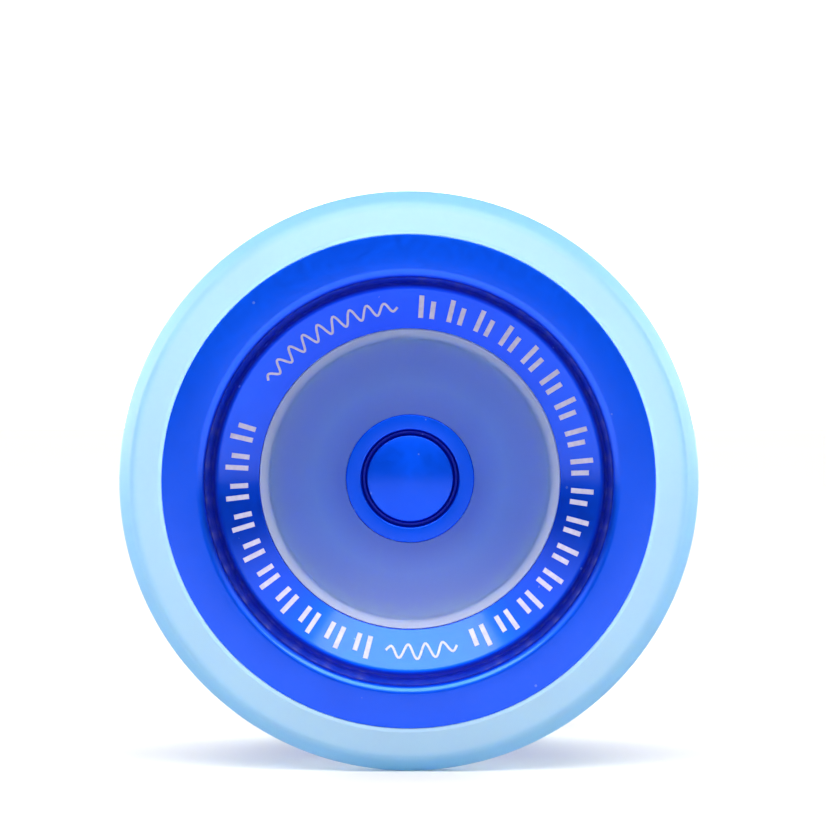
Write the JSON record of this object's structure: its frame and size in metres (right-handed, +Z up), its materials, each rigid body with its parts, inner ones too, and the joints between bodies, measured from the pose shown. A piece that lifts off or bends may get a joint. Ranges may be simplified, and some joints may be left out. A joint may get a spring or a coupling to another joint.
{
  "type": "yo yo",
  "caption": "Wide butterfly yo-yo: two frosted plastic cups with blue metal weight rings and domed hub caps, on an axle with a ball bearing and a string gap between them.",
  "frame": {"origin": "middle of the axle and of the bearing, halfway between the two rims", "axes": "+Y along the axle towards the rear half, +Z up when the yo-yo stands on its two rims, +X to the right seen from the front"},
  "size_m": [0.056, 0.045, 0.056],
  "materials": {
    "frosted_polycarbonate": "satin, frosted and translucent",
    "blue_anodised_aluminium": "satin, turned and anodised blue",
    "white_silicone": "matte",
    "bearing_steel": "polished",
    "cage_nylon": "matte",
    "axle_steel": "blackened"
  },
  "bodies": {
    "front_half": {"front_shell": "frosted_polycarbonate", "front_weight_ring": "blue_anodised_aluminium", "front_hub_cap": "blue_anodised_aluminium", "front_core": "blue_anodised_aluminium", "front_response_pad": "white_silicone", "axle": "axle_steel"},
    "bearing_inner": {"bearing_inner_ring": "bearing_steel"},
    "bearing_outer": {"bearing_outer_ring": "bearing_steel", "front_bearing_shield": "bearing_steel", "rear_bearing_shield": "bearing_steel", "front_snap_ring": "bearing_steel", "rear_snap_ring": "bearing_steel"},
    "bearing_cage": {"bearing_cage": "cage_nylon"},
    "rear_half": {"rear_shell": "frosted_polycarbonate", "rear_weight_ring": "blue_anodised_aluminium", "rear_hub_cap": "blue_anodised_aluminium", "rear_core": "blue_anodised_aluminium", "rear_response_pad": "white_silicone"},
    "ball_01": {"bearing_ball_01": "bearing_steel"},
    "ball_02": {"bearing_ball_02": "bearing_steel"},
    "ball_03": {"bearing_ball_03": "bearing_steel"},
    "ball_04": {"bearing_ball_04": "bearing_steel"},
    "ball_05": {"bearing_ball_05": "bearing_steel"},
    "ball_06": {"bearing_ball_06": "bearing_steel"},
    "ball_07": {"bearing_ball_07": "bearing_steel"},
    "ball_08": {"bearing_ball_08": "bearing_steel"},
    "ball_09": {"bearing_ball_09": "bearing_steel"},
    "ball_10": {"bearing_ball_10": "bearing_steel"}
  },
  "joints": [
    {"name": "half_travel", "type": "slide", "parent": "front_half", "child": "bearing_inner", "axis": [0, 1, 0], "range_m": [0, 0.0056]},
    {"name": "half_turn", "type": "hinge", "parent": "bearing_inner", "child": "rear_half", "pos_m": [0, 0, 0], "axis": [0, 1, 0], "range_deg": [0, 2880]},
    {"name": "bearing_spin", "type": "hinge", "parent": "bearing_inner", "child": "bearing_outer", "pos_m": [0, 0, 0], "axis": [0, 1, 0], "continuous": true},
    {"name": "cage_spin", "type": "hinge", "parent": "bearing_inner", "child": "bearing_cage", "pos_m": [0, 0, 0], "axis": [0, 1, 0], "continuous": true},
    {"name": "ball_01_roll", "type": "hinge", "parent": "bearing_cage", "child": "ball_01", "pos_m": [0, 0, 0.00476], "axis": [0, 1, 0], "continuous": true},
    {"name": "ball_02_roll", "type": "hinge", "parent": "bearing_cage", "child": "ball_02", "pos_m": [0.0028, 0, 0.00385], "axis": [0, 1, 0], "continuous": true},
    {"name": "ball_03_roll", "type": "hinge", "parent": "bearing_cage", "child": "ball_03", "pos_m": [0.00453, 0, 0.00147], "axis": [0, 1, 0], "continuous": true},
    {"name": "ball_04_roll", "type": "hinge", "parent": "bearing_cage", "child": "ball_04", "pos_m": [0.00453, 0, -0.00147], "axis": [0, 1, 0], "continuous": true},
    {"name": "ball_05_roll", "type": "hinge", "parent": "bearing_cage", "child": "ball_05", "pos_m": [0.0028, 0, -0.00385], "axis": [0, 1, 0], "continuous": true},
    {"name": "ball_06_roll", "type": "hinge", "parent": "bearing_cage", "child": "ball_06", "pos_m": [0, 0, -0.00476], "axis": [0, 1, 0], "continuous": true},
    {"name": "ball_07_roll", "type": "hinge", "parent": "bearing_cage", "child": "ball_07", "pos_m": [-0.0028, 0, -0.00385], "axis": [0, 1, 0], "continuous": true},
    {"name": "ball_08_roll", "type": "hinge", "parent": "bearing_cage", "child": "ball_08", "pos_m": [-0.00453, 0, -0.00147], "axis": [0, 1, 0], "continuous": true},
    {"name": "ball_09_roll", "type": "hinge", "parent": "bearing_cage", "child": "ball_09", "pos_m": [-0.00453, 0, 0.00147], "axis": [0, 1, 0], "continuous": true},
    {"name": "ball_10_roll", "type": "hinge", "parent": "bearing_cage", "child": "ball_10", "pos_m": [-0.0028, 0, 0.00385], "axis": [0, 1, 0], "continuous": true}
  ],
  "couplings": [
    {"joint": "half_turn", "follows": "half_travel", "rad_per_m": 8976},
    {"joint": "cage_spin", "follows": "bearing_spin", "ratio": 0.60415},
    {"joint": "ball_01_roll", "follows": "bearing_spin", "ratio": 2.2963},
    {"joint": "ball_02_roll", "follows": "bearing_spin", "ratio": 2.2963},
    {"joint": "ball_03_roll", "follows": "bearing_spin", "ratio": 2.2963},
    {"joint": "ball_04_roll", "follows": "bearing_spin", "ratio": 2.2963},
    {"joint": "ball_05_roll", "follows": "bearing_spin", "ratio": 2.2963},
    {"joint": "ball_06_roll", "follows": "bearing_spin", "ratio": 2.2963},
    {"joint": "ball_07_roll", "follows": "bearing_spin", "ratio": 2.2963},
    {"joint": "ball_08_roll", "follows": "bearing_spin", "ratio": 2.2963},
    {"joint": "ball_09_roll", "follows": "bearing_spin", "ratio": 2.2963},
    {"joint": "ball_10_roll", "follows": "bearing_spin", "ratio": 2.2963}
  ]
}
